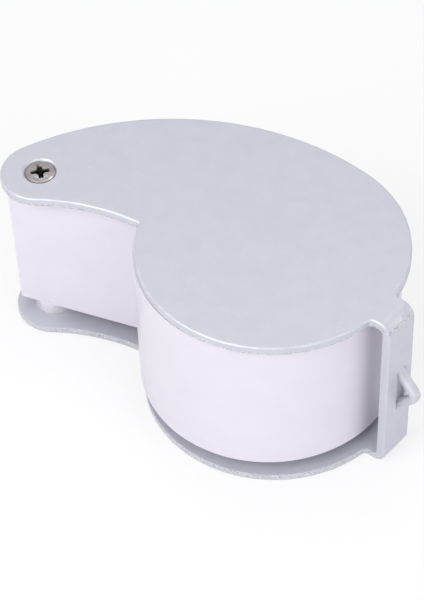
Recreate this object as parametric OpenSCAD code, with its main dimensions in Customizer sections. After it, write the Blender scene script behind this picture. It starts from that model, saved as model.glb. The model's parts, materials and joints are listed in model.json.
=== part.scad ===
// Folding illuminated pocket loupe.
// A lens body with its own light swings out of a bent sheet case on one pivot.
// Origin: on the lens axis, in the lower face of the case. +X points away from the pivot, +Z is up.

/* [Case] */
// Distance from the pivot to the middle of the plates' lens lobe
case_reach = 34.1; // [33.6:0.1:42]
// Height of the case over both plates
case_h = 26.8; // [26:0.1:34]
// Thickness of the case sheet
sheet_t = 1.2; // [0.8:0.1:1.5]
// Radius of the plate round the lens
lens_lobe_r = 18; // [17.6:0.1:19]
// Radius of the plate round the pivot
pivot_lobe_r = 5.4; // [5:0.1:6.5]
// Radius of the long convex edge
back_edge_r = 38.2; // [32:0.1:46]
// Radius of the hollow edge
hollow_edge_r = 28.7; // [24:0.1:34]
// Direction from the pivot to the middle of the hollow edge's circle
hollow_angle = -69; // [-74:0.5:-64]

/* [Web] */
// Direction in which the web faces
web_angle = -15.9; // [-25:0.1:0]
// How far the web's outer face stands out from the lens lobe
web_out = 2.9; // [2.6:0.1:4]
// Width of the web
web_w = 5.2; // [4.5:0.1:8]
// Sideways shift of the web
web_shift = 0.5; // [-1:0.1:1]
// Inside radius of the two bends
bend_r = 0.6; // [0.4:0.1:1.2]

/* [Lanyard loop] */
// Width of the lanyard strap
loop_w = 1.9; // [1.4:0.1:2.6]
// Height of the lanyard strap over its feet
loop_h = 7.9; // [7:0.1:12]
// How far the strap stands out from the web
loop_out = 2.9; // [2.2:0.1:4]
// Thickness of the strap
loop_t = 1.1; // [0.8:0.1:1.4]
// Height of the strap's middle
loop_z = 12.7; // [9:0.1:16]
// Sideways shift of the strap
loop_shift = 0.8; // [-0.8:0.1:0.9]
// Radius of the strap's outer nose
loop_nose_r = 1.7; // [1.5:0.1:2]

/* [Pivot] */
// Radius of the pivot post
post_r = 2; // [1.8:0.05:2.2]
// Radius of the post's riveted end
rivet_r = 1.5; // [1.2:0.05:1.7]
// Radius of the spread rivet head
rivet_head_r = 2.2; // [1.9:0.05:2.6]
// Depth of the spread rivet head
rivet_head_h = 0.6; // [0.4:0.05:0.7]
// Radius of the screw's shank
screw_r = 1.25; // [1:0.05:1.3]
// Radius of the screw head
screw_head_r = 2.1; // [1.8:0.05:2.4]
// Length of the screw under the top plate
screw_grip = 7; // [5:0.5:12]
// Radius of the moulded boss under the lens body
boss_r = 2.8; // [2.6:0.05:3.4]
// Thickness of the plain nylon washer
nylon_t = 0.35; // [0.2:0.05:0.6]
// Thickness of the spring washer, flattened
spring_washer_t = 0.3; // [0.2:0.05:0.5]
// Outer radius of the spring washer
spring_washer_r = 3.6; // [3:0.1:4.2]

/* [Lens body] */
// How much nearer the pivot the lens axis lies than the middle of the plates' lens lobe
lens_shift = 0.8; // [0:0.1:1]
// How far the body's side stands in from the plates' edge round the lens
lobe_inset = 0.3; // [0.2:0.1:1]
// How far it stands in round the pivot and along the convex edge
pivot_inset = 0.7; // [0.3:0.1:0.9]
// How much smaller the radius of the body's hollow side is than the plates'
hollow_tighter = 6.7; // [2:0.1:8]
// How far the middle of its circle is turned towards the lens
hollow_turn = 7.4; // [4:0.1:9]
// Height of the lens body above the bottom plate
body_lift = 1.9; // [1.5:0.1:3]
// Thickness of the outer wall
wall = 1.2; // [1:0.05:1.5]
// Thickness of the top deck
deck_t = 1.5; // [1.4:0.1:2]
// Thickness of the lens barrel's wall
barrel_wall = 1.2; // [1:0.05:1.4]
// Thickness of the base cover
cover_t = 1.5; // [1.2:0.1:2]
// Depth of the base cover above the wall's lower edge
cover_recess = 0.3; // [0.1:0.05:0.8]
// Width of the ledge that the base cover rests on
cover_ledge = 0.4; // [0.2:0.05:0.5]

/* [Lenses] */
// Diameter of the lenses
lens_d = 25; // [22:0.1:25.4]
// Edge thickness of a lens
lens_edge = 1.8; // [1.4:0.1:2.4]
// Radius of curvature of the lens faces
lens_curve = 60; // [58:1:100]
// Height of the spacer ring between the lenses
spacer_h = 3.2; // [3:0.1:5]
// Height of the retaining ring
retainer_h = 1.6; // [1.2:0.1:3]
// Width of the lip that a lens edge rests on
lens_lip = 0.7; // [0.5:0.05:1.2]

/* [Light] */
// Direction from the lens axis to the light board
light_angle = 157; // [150:1:160]
// Downward tilt of the lamps
lamp_tilt = 30; // [20:1:40]
// Diameter of a lamp
lamp_d = 3; // [2.8:0.1:3.1]
// Length of a lamp from its tip to its flange
lamp_l = 5; // [4.6:0.1:5.4]
// Distance between the two lamps
lamp_pitch = 5.2; // [4.6:0.1:5.6]
// Height of the lamps' tips above the base cover
lamp_lift = 3.2; // [2.6:0.1:4]
// Thickness of the light board
board_t = 1; // [0.8:0.1:1.2]

/* [Battery] */
// Diameter of a button cell
cell_d = 7.9; // [6.8:0.1:7.9]
// Thickness of a button cell
cell_h = 3.6; // [2.1:0.1:3.6]
// Distance from the pivot to the cells' axis
cell_reach = 10.6; // [10.4:0.1:10.7]
// Direction from the pivot to the cells' axis
cell_angle = 38; // [36:0.5:40]

/* [Switch] */
// Direction from the back edge's centre to the switch
switch_angle = 102; // [99:0.5:104]
// Travel of the switch knob
switch_travel = 2; // [1.5:0.1:2.5]
// Height of the switch above the base
switch_z = 14; // [12:0.1:17]
// Length of the switch can
switch_l = 7; // [6.5:0.1:8]

/* [Fits] */
// Running clearance of the lens body on its post
run_fit = 0.05; // [0.02:0.01:0.1]
// Clearance between assembled pieces
fit = 0.1; // [0.05:0.01:0.15]
// Clearance of a screw or lens in its hole
snug = 0.05; // [0.02:0.01:0.1]

/* [Hidden] */
$fn = 96;
eps = 0.01;

function dir(a) = [cos(a), sin(a)];
function unit(v) = v / norm(v);

// Heights
plate_top_z = case_h - sheet_t;
body_z = sheet_t + body_lift;
body_top_z = plate_top_z - spring_washer_t;
deck_z = body_top_z - deck_t;
cover_z = body_z + cover_recess;
cover_top_z = cover_z + cover_t;

// Plates and lens body share one kind of shape: two lobes joined by a convex edge and a hollow edge.
// The edges run into the lobes all but tangent, sunk into them by the blend
blend = 0.002;
lens_reach = case_reach - lens_shift;
pivot = [-lens_reach, 0];
body_lobe_r = lens_lobe_r - lobe_inset;
body_pivot_r = pivot_lobe_r - pivot_inset;
body_back_r = back_edge_r - pivot_inset;
body_hollow_r = hollow_edge_r - hollow_tighter;
// A shape is [reach from the pivot, lens lobe, pivot lobe, convex edge, hollow edge, hollow angle]
plate_shape = [case_reach, lens_lobe_r, pivot_lobe_r, back_edge_r, hollow_edge_r, hollow_angle];
body_shape = [lens_reach, body_lobe_r, body_pivot_r, body_back_r, body_hollow_r, hollow_angle + hollow_turn];
function back_middle(s) =
    let(to_pivot = s[3] - s[2] + blend, to_lens = s[3] - s[1] + blend)
    let(x = (s[0] * s[0] + to_pivot * to_pivot - to_lens * to_lens) / (2 * s[0]))
    pivot + [x, -sqrt(to_pivot * to_pivot - x * x)];
function hollow_middle(s) = pivot + (s[4] + s[2] - blend) * dir(s[5]);
back_c = back_middle(body_shape);
hollow_c = hollow_middle(body_shape);

// Web
web_x = lens_lobe_r + web_out;
bend_out_r = bend_r + sheet_t;
nose_x = web_x + loop_out - loop_nose_r;

// Pivot
head_drop = 0.05;
sink_r = screw_head_r + 0.3;
head_rim_h = 0.2;
cross_l = 2.6;
cross_w = 0.54;
cross_depth = 0.7;
cross_turn = 35;
head_cone_h = screw_head_r - screw_r;

// Lens body
pivot_solid_r = body_pivot_r + 0.9;
lens_r = lens_d / 2;
barrel_r = lens_r + snug;
barrel_out_r = barrel_r + barrel_wall;
window_r = lens_r - lens_lip;
function sag(r) = lens_curve - sqrt(pow(lens_curve, 2) - r * r);
lens_sag = sag(lens_r);
// A lens touches the lip or ring over it at the lip's inner edge, so its own edge lies a little lower
seat_rise = lens_sag - sag(window_r) + 0.01;
upper_lens_z = deck_z - seat_rise - lens_edge;
spacer_z = upper_lens_z - seat_rise - spacer_h;
lower_lens_z = spacer_z - seat_rise - lens_edge;
retainer_z = lower_lens_z - seat_rise - retainer_h;
screw_post_r = 1.6;
pilot_r = 0.75;
tap_screw_r = 0.7;
tap_head_r = 1.3;
tap_head_h = 0.8;
tap_cross_l = 1.6;
tap_cross_w = 0.36;
tap_cross_depth = 0.5;
tap_screw_l = 2.4;
short_post_h = 2.6;
// The hollow side's post is sunk into the wall, so that it stays joined to it at any size
post_sink = 0.2;
post_gap = 0.4;
back_post = back_c + (body_back_r - wall - screw_post_r - post_gap) * dir(112.5);
hollow_post = hollow_c + (body_hollow_r + wall + screw_post_r - post_sink) * dir(79);

// Battery
cell_r = cell_d / 2;
cell_c = pivot + cell_reach * dir(cell_angle);
sleeve_r = cell_r + 0.15;
sleeve_wall = 0.9;
door_r = cell_r + 0.3;
door_angle = -35;
door_neck = 2.6;
door_post = cell_c + (door_r + screw_post_r) * dir(door_angle);
cells = 3;
stack_top_z = cover_top_z + cells * cell_h;
contact_angle = 30;
contact_t = 0.25;
contact_w = 3;
contact_h = cells * cell_h - 0.4;
cap_rim_w = 0.8;
cap_rim_h = 0.4;
coin_slot = [3, 0.8, 0.4];
spring_wire_r = 0.25;
spring_coil_r = cell_r - 1.3;

// Switch, in a frame whose X points out through the wall
sw_wall_x = body_back_r - wall;
sw_front_x = sw_wall_x - 0.25;
can_t = 0.3;
can_depth = 3.2;
can_h = 4;
stem_w = 1.6;
cap_l = 3.4;
cap_h = 3.2;
cap_floor_x = sw_wall_x + 0.7;
cap_out_x = body_back_r + 0.4;
pin_l = 1.2;
pin_w = 0.6;
pin_pitch = 2;
stem_in_x = sw_front_x - 1.9;
grip_w = 0.25;
grip_pitch = 0.6;
wiper = [0.3, 2.4, 2];

// Light
tip_r = barrel_r + 0.25;
tip_z = cover_top_z + lamp_lift;
board_w = 9.6;
board_h = 4.6;
flange_w = 0.3;
flange_h = 0.9;
resistor_r = 0.7;
resistor_l = 3.2;

// Wires
wire_r = 0.35;

case_paint = [0.80, 0.80, 0.85];
body_white = [0.93, 0.92, 0.95];
nickel = [0.68, 0.66, 0.67];
brass = [0.80, 0.66, 0.35];
clear_lens = [0.80, 0.90, 0.95, 0.5];

module outline(s, inset) {
    middle = back_middle(s);
    hollow = hollow_middle(s);
    lobe = pivot + [s[0], 0];
    far = 2 * s[1];
    difference() {
        intersection() {
            translate(middle) circle(s[3] - inset);
            polygon([pivot, pivot + far * unit(pivot - middle), lobe + far * unit(lobe - middle),
                lobe, hollow]);
        }
        translate(hollow) circle(s[4] + inset);
    }
    translate(pivot) circle(s[2] - inset);
    translate(lobe) circle(s[1] - inset);
}

module at_web() {
    translate([lens_shift, 0, 0]) rotate([0, 0, web_angle]) children();
}

module plate() {
    linear_extrude(sheet_t) {
        outline(plate_shape, 0);
        at_web() translate([0, web_shift - web_w / 2]) square([web_x - bend_out_r, web_w]);
    }
}

// Quarter bend across the web's width, from angle start to start + 90 in its X and Z plane
module bend(z, start) {
    translate([web_x - bend_out_r, web_shift + web_w / 2, z])
        rotate([90, 0, 0]) rotate([0, 0, start])
            rotate_extrude(angle = 90) translate([bend_r, 0]) square([sheet_t, web_w]);
}

// Side view of the strap, rising from two feet in the web to a rounded nose
module loop_side(grow) {
    hull() {
        translate([nose_x, loop_z]) circle(loop_nose_r + grow, $fn = 32);
        translate([web_x - sheet_t, loop_z - loop_h / 2 - grow]) square([sheet_t, loop_h + 2 * grow]);
    }
}

module strap() {
    translate([0, loop_shift + loop_w / 2, 0]) rotate([90, 0, 0]) linear_extrude(loop_w) difference() {
        loop_side(0);
        loop_side(-loop_t);
    }
}

module case_shell() {
    color(case_paint) difference() {
        union() {
            plate();
            translate([0, 0, plate_top_z]) plate();
            at_web() {
                bend(bend_out_r, -90);
                bend(case_h - bend_out_r, 0);
                difference() {
                    translate([web_x - sheet_t, web_shift - web_w / 2, bend_out_r])
                        cube([sheet_t, web_w, case_h - 2 * bend_out_r]);
                    translate([web_x - sheet_t - 1, loop_shift - loop_w / 2, loop_z - loop_h / 2])
                        cube([sheet_t + 2, loop_w, loop_h]);
                }
                strap();
            }
        }
        translate([pivot[0], pivot[1], -1]) cylinder(r = rivet_r + snug, h = sheet_t + 2);
        translate([pivot[0], pivot[1], -eps])
            cylinder(r1 = rivet_head_r + snug, r2 = rivet_r + snug, h = rivet_head_h + snug);
        translate([pivot[0], pivot[1], plate_top_z - 1]) cylinder(r = screw_r + fit, h = sheet_t + 2);
        translate([pivot[0], pivot[1], case_h - (sink_r - screw_r - fit)])
            cylinder(r1 = screw_r + fit, r2 = sink_r + eps, h = sink_r - screw_r - fit + eps);
    }
}

module pivot_screw() {
    head_z = case_h - head_drop;
    color(nickel) translate([pivot[0], pivot[1], 0]) difference() {
        union() {
            translate([0, 0, head_z - head_rim_h]) cylinder(r = screw_head_r, h = head_rim_h);
            translate([0, 0, head_z - head_rim_h - head_cone_h])
                cylinder(r1 = screw_r, r2 = screw_head_r, h = head_cone_h);
            translate([0, 0, plate_top_z - screw_grip])
                cylinder(r = screw_r, h = screw_grip + head_z - plate_top_z - head_rim_h - head_cone_h + eps);
        }
        for (a = [cross_turn, cross_turn + 90])
            translate([0, 0, head_z - cross_depth]) rotate([0, 0, a])
                translate([-cross_l / 2, -cross_w / 2, 0]) cube([cross_l, cross_w, 1]);
    }
}

module pivot_post() {
    color(nickel) translate([pivot[0], pivot[1], 0]) difference() {
        union() {
            translate([0, 0, sheet_t]) cylinder(r = post_r, h = plate_top_z - sheet_t);
            cylinder(r = rivet_r, h = sheet_t + eps);
            cylinder(r1 = rivet_head_r, r2 = rivet_r, h = rivet_head_h);
        }
        translate([0, 0, plate_top_z - screw_grip - 1]) cylinder(r = screw_r + snug, h = screw_grip + 2);
    }
}

module ring(outer, inner, z, h) {
    translate([0, 0, z]) difference() {
        cylinder(r = outer, h = h);
        translate([0, 0, -1]) cylinder(r = inner, h = h + 2);
    }
}

module spring_washer() {
    color(nickel) translate(pivot) ring(spring_washer_r, post_r + run_fit, body_top_z, spring_washer_t);
}

module nylon_washer() {
    color("white") translate(pivot) ring(boss_r, post_r + run_fit, sheet_t, nylon_t);
}

// Plan of the space inside the wall, grown by grow all round
module inside(grow) {
    difference() {
        outline(body_shape, wall - grow);
        translate(pivot) circle(pivot_solid_r - grow);
    }
}

// The hollow between the wall, the barrel and the cell sleeve, with posts left standing
module cavity(posts) {
    difference() {
        inside(0);
        circle(barrel_out_r);
        for (p = posts) translate(p) circle(screw_post_r);
        translate(cell_c) circle(sleeve_r + sleeve_wall);
    }
}

module at_switch() {
    translate([back_c[0], back_c[1], switch_z]) rotate([0, 0, switch_angle]) children();
}

// Block centred on Y and Z, from x0 to x1
module block(x0, x1, w, h) {
    translate([x0, -w / 2, -h / 2]) cube([x1 - x0, w, h]);
}

module at_lamps() {
    rotate([0, 0, light_angle]) translate([tip_r, 0, tip_z]) rotate([0, -lamp_tilt, 0]) children();
}

module body_shell() {
    color(body_white) difference() {
        union() {
            translate([0, 0, body_z]) linear_extrude(body_top_z - body_z) outline(body_shape, 0);
            translate([pivot[0], pivot[1], sheet_t + nylon_t]) cylinder(r = boss_r, h = body_z - sheet_t);
        }
        translate([0, 0, cover_top_z - eps]) linear_extrude(short_post_h + eps)
            cavity([back_post, hollow_post, door_post]);
        translate([0, 0, cover_top_z + short_post_h - eps])
            linear_extrude(deck_z - cover_top_z - short_post_h + eps) cavity([back_post]);
        translate([0, 0, body_z - 1]) linear_extrude(cover_top_z - body_z + 1) inside(cover_ledge);
        translate([0, 0, body_z]) cylinder(r = barrel_r, h = deck_z - body_z);
        cylinder(r = window_r, h = case_h);
        translate([pivot[0], pivot[1], 0]) cylinder(r = post_r + run_fit, h = case_h);
        translate([cell_c[0], cell_c[1], body_z]) cylinder(r = sleeve_r, h = deck_z - body_z);
        translate([cell_c[0], cell_c[1], body_z]) rotate([0, 0, contact_angle])
            translate([cell_r - 1, -contact_w / 2 - fit, 0])
                cube([sleeve_wall + 1.6, contact_w + 2 * fit, deck_z - body_z]);
        for (p = [back_post, hollow_post, door_post])
            translate([p[0], p[1], body_z]) cylinder(r = pilot_r, h = cover_top_z - body_z + tap_screw_l);
        for (side = [-1, 1])
            at_lamps() translate([-3, side * lamp_pitch / 2, 0]) rotate([0, 90, 0])
                cylinder(r = lamp_d / 2 + fit, h = 6);
        at_switch() {
            block(sw_wall_x - 1, sw_wall_x + 2 * wall, stem_w + switch_travel + 4 * fit, stem_w + 2 * fit);
            block(cap_floor_x, sw_wall_x + 2 * wall, cap_l + switch_travel + 4 * fit, cap_h + 4 * fit);
        }
    }
}

module door_plan(gap) {
    translate(cell_c) circle(door_r + gap);
    translate(door_post) circle(screw_post_r + gap);
    translate(door_post) rotate([0, 0, door_angle + 180])
        translate([0, -door_neck / 2 - gap]) square([door_r, door_neck + 2 * gap]);
}

module screw_seat(p, z) {
    translate([p[0], p[1], z - 1]) cylinder(r = tap_screw_r + fit, h = cover_t + 2);
    translate([p[0], p[1], z - 1]) cylinder(r = tap_head_r + fit, h = 1 + tap_head_h);
}

module base_cover() {
    color(body_white) difference() {
        translate([0, 0, cover_z]) linear_extrude(cover_t) difference() {
            inside(cover_ledge - fit);
            circle(window_r);
            door_plan(fit);
        }
        for (p = [back_post, hollow_post]) screw_seat(p, cover_z);
    }
}

module battery_door() {
    color(body_white) difference() {
        translate([0, 0, cover_z]) linear_extrude(cover_t) door_plan(0);
        screw_seat(door_post, cover_z);
        translate([cell_c[0], cell_c[1] - door_r / 2, cover_z])
            cube([coin_slot[0], coin_slot[1], 2 * coin_slot[2]], center = true);
    }
}

module tap_screw(p) {
    translate([p[0], p[1], cover_z]) difference() {
        union() {
            cylinder(r = tap_head_r, h = tap_head_h);
            cylinder(r = tap_screw_r, h = cover_t + tap_screw_l - 0.3);
        }
        for (a = [0, 90]) rotate([0, 0, a])
            translate([-tap_cross_l / 2, -tap_cross_w / 2, -1])
                cube([tap_cross_l, tap_cross_w, 1 + tap_cross_depth]);
    }
}

module door_screw() {
    color(nickel) tap_screw(door_post);
}

module cover_screws() {
    color(nickel) for (p = [back_post, hollow_post]) tap_screw(p);
}

module lens(z) {
    color(clear_lens) intersection() {
        translate([0, 0, z - lens_sag]) cylinder(r = lens_r, h = lens_edge + 2 * lens_sag);
        translate([0, 0, z - lens_sag + lens_curve]) sphere(lens_curve, $fn = 200);
        translate([0, 0, z + lens_edge + lens_sag - lens_curve]) sphere(lens_curve, $fn = 200);
    }
}

module upper_lens() {
    lens(upper_lens_z);
}

module lower_lens() {
    lens(lower_lens_z);
}

module lens_spacer() {
    color([0.15, 0.15, 0.16]) ring(lens_r, window_r, spacer_z, spacer_h);
}

module lens_retainer() {
    color([0.15, 0.15, 0.16]) ring(lens_r, window_r, retainer_z, retainer_h);
}

module lamp(side) {
    color([0.92, 0.95, 1.0, 0.6]) at_lamps() translate([0, side * lamp_pitch / 2, 0]) {
        translate([lamp_d / 2, 0, 0]) sphere(lamp_d / 2, $fn = 48);
        translate([lamp_d / 2, 0, 0]) rotate([0, 90, 0]) cylinder(r = lamp_d / 2, h = lamp_l - lamp_d / 2);
        translate([lamp_l - flange_h, 0, 0]) rotate([0, 90, 0])
            cylinder(r = lamp_d / 2 + flange_w, h = flange_h);
    }
}

module left_lamp() {
    lamp(1);
}

module right_lamp() {
    lamp(-1);
}

module light_board() {
    color([0.10, 0.35, 0.20]) at_lamps() block(lamp_l, lamp_l + board_t, board_w, board_h);
}

module resistor() {
    color([0.75, 0.70, 0.55]) at_lamps() translate([lamp_l + board_t + resistor_r, -resistor_l / 2, -1])
        rotate([-90, 0, 0]) cylinder(r = resistor_r, h = resistor_l);
}

module cell(i) {
    color([0.78, 0.78, 0.80]) translate([cell_c[0], cell_c[1], cover_top_z + i * cell_h]) {
        cylinder(r = cell_r, h = cell_h - cap_rim_h);
        translate([0, 0, cell_h - cap_rim_h - eps]) cylinder(r = cell_r - cap_rim_w, h = cap_rim_h + eps);
    }
}

module bottom_cell() {
    cell(0);
}

module middle_cell() {
    cell(1);
}

module top_cell() {
    cell(2);
}

// Round bar with 8 sides swept along points, with its rings square to the path
module sweep(points, r) {
    n = len(points);
    ahead = [for (i = [0 : n - 1]) unit(points[min(i + 1, n - 1)] - points[max(i - 1, 0)])];
    side = [for (t = ahead) let(s = cross(t, [0, 0, 1])) norm(s) > 0.05 ? unit(s) : [0, 0, 0]];
    fill = [for (i = [0 : n - 1]) norm(side[i]) > 0.5 ? side[i] : unit(side[floor(n / 2)])];
    rings = [for (i = [0 : n - 1], k = [0 : 7])
        points[i] + r * (cos(45 * k) * fill[i] + sin(45 * k) * unit(cross(fill[i], ahead[i])))];
    faces = concat(
        [[for (k = [0 : 7]) k]],
        [for (i = [0 : n - 2], k = [0 : 7])
            [i * 8 + k, (i + 1) * 8 + k, (i + 1) * 8 + (k + 1) % 8, i * 8 + (k + 1) % 8]],
        [[for (k = [7 : -1 : 0]) (n - 1) * 8 + k]]);
    polyhedron(rings, faces);
}

spring_rings = 72;
spring_turns = 4.5;
spring_low_z = stack_top_z + spring_wire_r + 0.02;
spring_high_z = deck_z - spring_wire_r - 0.02;
spring_path = [for (i = [0 : spring_rings])
    let(s = i / spring_rings, a = 360 * spring_turns * s + contact_angle + 90)
    [cell_c[0] + spring_coil_r * cos(a), cell_c[1] + spring_coil_r * sin(a),
     spring_low_z + (spring_high_z - spring_low_z) * s]];

module negative_spring() {
    color(nickel) sweep(spring_path, spring_wire_r);
}

module positive_contact() {
    color(brass) translate([cell_c[0], cell_c[1], cover_top_z]) rotate([0, 0, contact_angle])
        translate([cell_r + 0.02, -contact_w / 2, 0]) cube([contact_t, contact_w, contact_h]);
}

module switch_can() {
    color(nickel) at_switch() difference() {
        block(sw_front_x - can_depth, sw_front_x, switch_l, can_h);
        block(sw_front_x - can_depth + can_t, sw_front_x - can_t, switch_l - 2 * can_t, can_h - 2 * can_t);
        block(sw_front_x - 1, sw_front_x + 1, stem_w + switch_travel + 4 * fit, stem_w + 2 * fit);
    }
}

module switch_pins() {
    color(brass) at_switch() for (i = [-1 : 1]) translate([0, i * pin_pitch, 0])
        block(sw_front_x - can_depth - pin_l, sw_front_x - can_depth, pin_w, pin_w);
}

module switch_knob() {
    color([0.20, 0.20, 0.22]) at_switch() translate([0, -switch_travel / 2, 0]) difference() {
        union() {
            block(stem_in_x, cap_floor_x + 0.2, stem_w, stem_w);
            block(cap_floor_x + fit / 2, cap_out_x, cap_l, cap_h);
        }
        for (i = [-2 : 2])
            translate([0, i * grip_pitch, 0]) block(cap_out_x - grip_w, cap_out_x + 1, grip_w, cap_h + 1);
    }
}

module switch_wiper() {
    color(brass) at_switch() translate([0, -switch_travel / 2, 0])
        block(stem_in_x - wiper[0], stem_in_x, wiper[1], wiper[2]);
}

// Wires arch over from one terminal to another, leaving both straight up
function arch(a, b, rise) = [for (i = [0 : 16]) let(s = i / 16)
    pow(1 - s, 3) * a + 3 * s * pow(1 - s, 2) * (a + [0, 0, rise])
    + 3 * s * s * (1 - s) * (b + [0, 0, rise]) + pow(s, 3) * b];
function switch_point(x, y, z) = let(u = dir(switch_angle), v = [-u[1], u[0]], p = back_c + x * u + y * v)
    [p[0], p[1], switch_z + z];
function lamp_point(x, y, z) = let(u = dir(light_angle), v = [-u[1], u[0]],
    p = (tip_r + x * cos(lamp_tilt) - z * sin(lamp_tilt)) * u + y * v)
    [p[0], p[1], tip_z + x * sin(lamp_tilt) + z * cos(lamp_tilt)];

pin_x = sw_front_x - can_depth - pin_l + pin_w / 2;
pin_top = pin_w / 2 + 0.02;
contact_xy = cell_c + (cell_r + 0.02 + contact_t + wire_r + 0.03) * dir(contact_angle);
board_back = lamp_l + board_t + wire_r + 0.05;

module red_wire() {
    a = [contact_xy[0], contact_xy[1], cover_top_z + contact_h - 1.2];
    color("red") sweep(arch(a, switch_point(pin_x, pin_pitch, pin_top), 5), wire_r);
}

module white_wire() {
    color("white") sweep(arch(switch_point(pin_x, 0, pin_top), lamp_point(board_back, -4, 1.2), 4), wire_r);
}

module black_wire() {
    a = [contact_xy[0], contact_xy[1], deck_z - 3];
    color([0.1, 0.1, 0.1]) sweep(arch(a, lamp_point(board_back, -1, 1.6), 2), wire_r);
}

case_shell();
pivot_screw();
pivot_post();
spring_washer();
nylon_washer();
body_shell();
base_cover();
upper_lens();
lens_spacer();
lower_lens();
lens_retainer();
light_board();
left_lamp();
right_lamp();
resistor();
top_cell();
middle_cell();
bottom_cell();
negative_spring();
positive_contact();
battery_door();
door_screw();
cover_screws();
switch_can();
switch_pins();
switch_knob();
switch_wiper();
red_wire();
black_wire();
white_wire();
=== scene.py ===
import json
import math

import bmesh
import bpy
from mathutils import Matrix, Vector


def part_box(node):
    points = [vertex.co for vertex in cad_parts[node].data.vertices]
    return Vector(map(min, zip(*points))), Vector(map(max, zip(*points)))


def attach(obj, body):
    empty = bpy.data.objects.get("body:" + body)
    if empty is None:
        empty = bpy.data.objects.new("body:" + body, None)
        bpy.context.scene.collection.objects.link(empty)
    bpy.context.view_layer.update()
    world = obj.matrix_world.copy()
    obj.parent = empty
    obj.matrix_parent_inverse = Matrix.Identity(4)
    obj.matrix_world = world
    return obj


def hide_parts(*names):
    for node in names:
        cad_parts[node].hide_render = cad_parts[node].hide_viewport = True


mm = 0.001
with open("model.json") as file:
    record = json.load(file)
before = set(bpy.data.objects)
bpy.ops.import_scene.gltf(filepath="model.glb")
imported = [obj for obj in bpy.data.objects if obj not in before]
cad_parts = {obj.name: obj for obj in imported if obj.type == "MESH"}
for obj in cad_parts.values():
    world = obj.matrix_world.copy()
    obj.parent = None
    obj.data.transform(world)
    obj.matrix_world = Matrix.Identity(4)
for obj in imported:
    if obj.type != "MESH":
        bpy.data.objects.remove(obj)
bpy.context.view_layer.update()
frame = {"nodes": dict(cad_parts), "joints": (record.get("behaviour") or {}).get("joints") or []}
print("frame loaded:", len(frame["nodes"]), "nodes")


def polar(angle, length=1.0):
    a = math.radians(angle)
    return Vector((math.cos(a) * length, math.sin(a) * length, 0))


def lift(point, z):
    return Vector((point[0], point[1], z))


def angleOf(v):
    return math.atan2(v[1], v[0])


def turned(angle, axis="Z"):
    return Matrix.Rotation(math.radians(angle), 4, axis)


def newObject(name, bm, body, slotName, replaced):
    mesh = bpy.data.meshes.new(name)
    bm.to_mesh(mesh)
    bm.free()
    for poly in mesh.polygons:
        poly.use_smooth = True
    obj = bpy.data.objects.new(name, mesh)
    bpy.context.scene.collection.objects.link(obj)
    mesh.materials.append(looks[slotName])
    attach(obj, body)
    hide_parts(replaced)
    return obj


# Material building blocks
def startLook(name):
    mat = bpy.data.materials.new(name)
    mat.use_nodes = True
    tree = mat.node_tree
    return mat, tree, tree.nodes["Principled BSDF"], tree.nodes.new("ShaderNodeTexCoord")


def noise(tree, coord, scale, detail=2.0, rough=0.5):
    n = tree.nodes.new("ShaderNodeTexNoise")
    n.inputs["Scale"].default_value = scale
    n.inputs["Detail"].default_value = detail
    n.inputs["Roughness"].default_value = rough
    tree.links.new(coord.outputs["Object"], n.inputs["Vector"])
    return n.outputs["Fac"]


def remap(tree, value, low, high, outLow, outHigh):
    m = tree.nodes.new("ShaderNodeMapRange")
    m.inputs["From Min"].default_value = low
    m.inputs["From Max"].default_value = high
    m.inputs["To Min"].default_value = outLow
    m.inputs["To Max"].default_value = outHigh
    tree.links.new(value, m.inputs["Value"])
    return m.outputs["Result"]


def mixColours(tree, fac, a, b):
    m = tree.nodes.new("ShaderNodeMix")
    m.data_type = "RGBA"
    for key, value in (("A", a), ("B", b)):
        socket = [s for s in m.inputs if s.name == key and s.type == "RGBA"][0]
        if isinstance(value, bpy.types.NodeSocket):
            tree.links.new(value, socket)
        else:
            socket.default_value = (*value, 1)
    tree.links.new(fac, m.inputs[0])
    return [s for s in m.outputs if s.type == "RGBA"][0]


def bump(tree, shader, height, strength, distance):
    b = tree.nodes.new("ShaderNodeBump")
    b.inputs["Strength"].default_value = strength
    b.inputs["Distance"].default_value = distance
    tree.links.new(height, b.inputs["Height"])
    tree.links.new(b.outputs["Normal"], shader.inputs["Normal"])


def product(tree, a, b):
    m = tree.nodes.new("ShaderNodeMath")
    m.operation = "MULTIPLY"
    for socket, value in zip(m.inputs, (a, b)):
        if isinstance(value, bpy.types.NodeSocket):
            tree.links.new(value, socket)
        else:
            socket.default_value = value
    return m.outputs["Value"]


def zPart(tree, vector):
    parts = tree.nodes.new("ShaderNodeSeparateXYZ")
    tree.links.new(vector, parts.inputs["Vector"])
    return parts.outputs["Z"]


# 1 between two heights of the object, 0 outside
def heightBand(tree, height, low, high, soft):
    rise = remap(tree, height, low - soft, low, 0, 1)
    fall = remap(tree, height, high, high + soft, 1, 0)
    return product(tree, rise, fall)


# 1 where the surface lies flat, 0 where it stands upright
def flatness(tree, coord):
    size = tree.nodes.new("ShaderNodeMath")
    size.operation = "ABSOLUTE"
    tree.links.new(zPart(tree, coord.outputs["Normal"]), size.inputs[0])
    return size.outputs["Value"]


def linear(r, g, b):
    return tuple(((c / 255 + 0.055) / 1.055) ** 2.4 for c in (r, g, b))


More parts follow.
